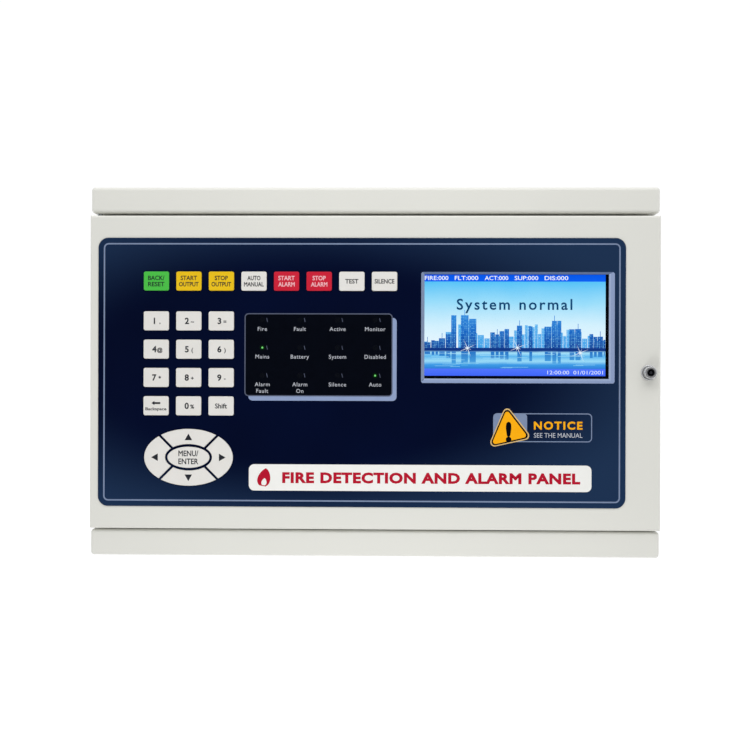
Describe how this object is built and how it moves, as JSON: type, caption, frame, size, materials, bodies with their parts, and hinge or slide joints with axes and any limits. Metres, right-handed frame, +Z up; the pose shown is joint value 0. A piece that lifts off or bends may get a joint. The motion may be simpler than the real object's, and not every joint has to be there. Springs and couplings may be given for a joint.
{
  "type": "fire alarm control panel",
  "caption": "Wall-mounted sheet-metal fire alarm control panel with a hinged front door, keypad, arrow keys, indicator lamps, colour display, cam lock, circuit boards and standby batteries.",
  "frame": {"origin": "middle of the back face, on the wall", "axes": "+X to the right as seen from the room, +Y into the wall, +Z up"},
  "size_m": [0.4852, 0.1276, 0.3166],
  "materials": {
    "cabinet_paint": "fine-textured powder coat, satin",
    "zinc_plated_steel": "bright zinc plating",
    "galvanised_steel": "galvanised sheet",
    "brass_spacers": "turned brass",
    "overlay_print": "reverse-printed polyester, fine matt texture",
    "lamp_window_film": "tinted clear film",
    "clear_pane": "clear acrylic",
    "display_glass": "glossy display face",
    "black_moulding": "moulded, fine spark texture",
    "terminal_green": "moulded nylon",
    "circuit_board": "solder mask over glass-fibre board",
    "keypad_rubber": "moulded silicone rubber",
    "cable_rubber": "moulded rubber",
    "lamp_lens": "diffused epoxy",
    "battery_case": "moulded ABS",
    "tinned_brass": "tinned",
    "lock_chrome": "polished chrome plating",
    "key_white": "moulded, fine satin",
    "key_green": "moulded, fine satin",
    "key_yellow": "moulded, fine satin",
    "key_red": "moulded, fine satin"
  },
  "bodies": {
    "cabinet": {"back_box": "cabinet_paint", "top_cap": "cabinet_paint", "bottom_cap": "cabinet_paint", "cable_grommets": "cable_rubber", "chassis_plate": "zinc_plated_steel", "standoffs": "brass_spacers", "main_board": "circuit_board", "board_screws": "zinc_plated_steel", "board_parts": "black_moulding", "field_terminals": "terminal_green", "loop_card": "circuit_board", "power_supply": "galvanised_steel", "mains_terminals": "black_moulding", "earth_stud": "zinc_plated_steel", "batteries": "battery_case", "battery_tabs": "tinned_brass", "battery_bracket": "zinc_plated_steel"},
    "door": {"door_panel": "cabinet_paint", "front_overlay": "overlay_print", "lamp_windows": "lamp_window_film", "key_guide": "black_moulding", "keypad_mat": "keypad_rubber", "keypad_board": "circuit_board", "indicator_lamps": "lamp_lens", "buzzer": "black_moulding", "display_window": "clear_pane", "display_frame": "galvanised_steel", "display_glass": "display_glass", "display_brackets": "zinc_plated_steel", "door_nuts": "zinc_plated_steel", "hinge_pins": "zinc_plated_steel", "lock_barrel": "lock_chrome", "lock_nut": "zinc_plated_steel"},
    "lock": {"lock_plug": "lock_chrome", "lock_cam": "zinc_plated_steel"},
    "key_reset": {"key_reset": "key_green"},
    "key_start_device": {"key_start_device": "key_yellow"},
    "key_stop_device": {"key_stop_device": "key_yellow"},
    "key_auto_manual": {"key_auto_manual": "key_white"},
    "key_start_sounder": {"key_start_sounder": "key_red"},
    "key_stop_sounder": {"key_stop_sounder": "key_red"},
    "key_self_check": {"key_self_check": "key_white"},
    "key_silence": {"key_silence": "key_white"},
    "key_1": {"key_1": "key_white"},
    "key_2": {"key_2": "key_white"},
    "key_3": {"key_3": "key_white"},
    "key_4": {"key_4": "key_white"},
    "key_5": {"key_5": "key_white"},
    "key_6": {"key_6": "key_white"},
    "key_7": {"key_7": "key_white"},
    "key_8": {"key_8": "key_white"},
    "key_9": {"key_9": "key_white"},
    "key_backspace": {"key_backspace": "key_white"},
    "key_0": {"key_0": "key_white"},
    "key_shift": {"key_shift": "key_white"},
    "nav_up": {"nav_up": "key_white"},
    "nav_down": {"nav_down": "key_white"},
    "nav_left": {"nav_left": "key_white"},
    "nav_right": {"nav_right": "key_white"},
    "nav_enter": {"nav_enter": "key_white"}
  },
  "joints": [
    {"name": "door_hinge", "type": "hinge", "parent": "cabinet", "child": "door", "pos_m": [-0.237, -0.11, 0], "axis": [0, 0, -1], "range_deg": [0, 110]},
    {"name": "lock_turn", "type": "hinge", "parent": "door", "child": "lock", "pos_m": [0.2323, -0.11, 0], "axis": [0, 1, 0], "range_deg": [0, 90]},
    {"name": "key_reset_press", "type": "slide", "parent": "door", "child": "key_reset", "axis": [0, 1, 0], "range_m": [0, 0.0008], "stiffness_N_per_m": 600, "springref_m": -0.0006},
    {"name": "key_start_device_press", "type": "slide", "parent": "door", "child": "key_start_device", "axis": [0, 1, 0], "range_m": [0, 0.0008], "stiffness_N_per_m": 600, "springref_m": -0.0006},
    {"name": "key_stop_device_press", "type": "slide", "parent": "door", "child": "key_stop_device", "axis": [0, 1, 0], "range_m": [0, 0.0008], "stiffness_N_per_m": 600, "springref_m": -0.0006},
    {"name": "key_auto_manual_press", "type": "slide", "parent": "door", "child": "key_auto_manual", "axis": [0, 1, 0], "range_m": [0, 0.0008], "stiffness_N_per_m": 600, "springref_m": -0.0006},
    {"name": "key_start_sounder_press", "type": "slide", "parent": "door", "child": "key_start_sounder", "axis": [0, 1, 0], "range_m": [0, 0.0008], "stiffness_N_per_m": 600, "springref_m": -0.0006},
    {"name": "key_stop_sounder_press", "type": "slide", "parent": "door", "child": "key_stop_sounder", "axis": [0, 1, 0], "range_m": [0, 0.0008], "stiffness_N_per_m": 600, "springref_m": -0.0006},
    {"name": "key_self_check_press", "type": "slide", "parent": "door", "child": "key_self_check", "axis": [0, 1, 0], "range_m": [0, 0.0008], "stiffness_N_per_m": 600, "springref_m": -0.0006},
    {"name": "key_silence_press", "type": "slide", "parent": "door", "child": "key_silence", "axis": [0, 1, 0], "range_m": [0, 0.0008], "stiffness_N_per_m": 600, "springref_m": -0.0006},
    {"name": "key_1_press", "type": "slide", "parent": "door", "child": "key_1", "axis": [0, 1, 0], "range_m": [0, 0.0008], "stiffness_N_per_m": 600, "springref_m": -0.0006},
    {"name": "key_2_press", "type": "slide", "parent": "door", "child": "key_2", "axis": [0, 1, 0], "range_m": [0, 0.0008], "stiffness_N_per_m": 600, "springref_m": -0.0006},
    {"name": "key_3_press", "type": "slide", "parent": "door", "child": "key_3", "axis": [0, 1, 0], "range_m": [0, 0.0008], "stiffness_N_per_m": 600, "springref_m": -0.0006},
    {"name": "key_4_press", "type": "slide", "parent": "door", "child": "key_4", "axis": [0, 1, 0], "range_m": [0, 0.0008], "stiffness_N_per_m": 600, "springref_m": -0.0006},
    {"name": "key_5_press", "type": "slide", "parent": "door", "child": "key_5", "axis": [0, 1, 0], "range_m": [0, 0.0008], "stiffness_N_per_m": 600, "springref_m": -0.0006},
    {"name": "key_6_press", "type": "slide", "parent": "door", "child": "key_6", "axis": [0, 1, 0], "range_m": [0, 0.0008], "stiffness_N_per_m": 600, "springref_m": -0.0006},
    {"name": "key_7_press", "type": "slide", "parent": "door", "child": "key_7", "axis": [0, 1, 0], "range_m": [0, 0.0008], "stiffness_N_per_m": 600, "springref_m": -0.0006},
    {"name": "key_8_press", "type": "slide", "parent": "door", "child": "key_8", "axis": [0, 1, 0], "range_m": [0, 0.0008], "stiffness_N_per_m": 600, "springref_m": -0.0006},
    {"name": "key_9_press", "type": "slide", "parent": "door", "child": "key_9", "axis": [0, 1, 0], "range_m": [0, 0.0008], "stiffness_N_per_m": 600, "springref_m": -0.0006},
    {"name": "key_backspace_press", "type": "slide", "parent": "door", "child": "key_backspace", "axis": [0, 1, 0], "range_m": [0, 0.0008], "stiffness_N_per_m": 600, "springref_m": -0.0006},
    {"name": "key_0_press", "type": "slide", "parent": "door", "child": "key_0", "axis": [0, 1, 0], "range_m": [0, 0.0008], "stiffness_N_per_m": 600, "springref_m": -0.0006},
    {"name": "key_shift_press", "type": "slide", "parent": "door", "child": "key_shift", "axis": [0, 1, 0], "range_m": [0, 0.0008], "stiffness_N_per_m": 600, "springref_m": -0.0006},
    {"name": "nav_up_press", "type": "slide", "parent": "door", "child": "nav_up", "axis": [0, 1, 0], "range_m": [0, 0.0008], "stiffness_N_per_m": 600, "springref_m": -0.0006},
    {"name": "nav_down_press", "type": "slide", "parent": "door", "child": "nav_down", "axis": [0, 1, 0], "range_m": [0, 0.0008], "stiffness_N_per_m": 600, "springref_m": -0.0006},
    {"name": "nav_left_press", "type": "slide", "parent": "door", "child": "nav_left", "axis": [0, 1, 0], "range_m": [0, 0.0008], "stiffness_N_per_m": 600, "springref_m": -0.0006},
    {"name": "nav_right_press", "type": "slide", "parent": "door", "child": "nav_right", "axis": [0, 1, 0], "range_m": [0, 0.0008], "stiffness_N_per_m": 600, "springref_m": -0.0006},
    {"name": "nav_enter_press", "type": "slide", "parent": "door", "child": "nav_enter", "axis": [0, 1, 0], "range_m": [0, 0.0008], "stiffness_N_per_m": 600, "springref_m": -0.0006}
  ]
}
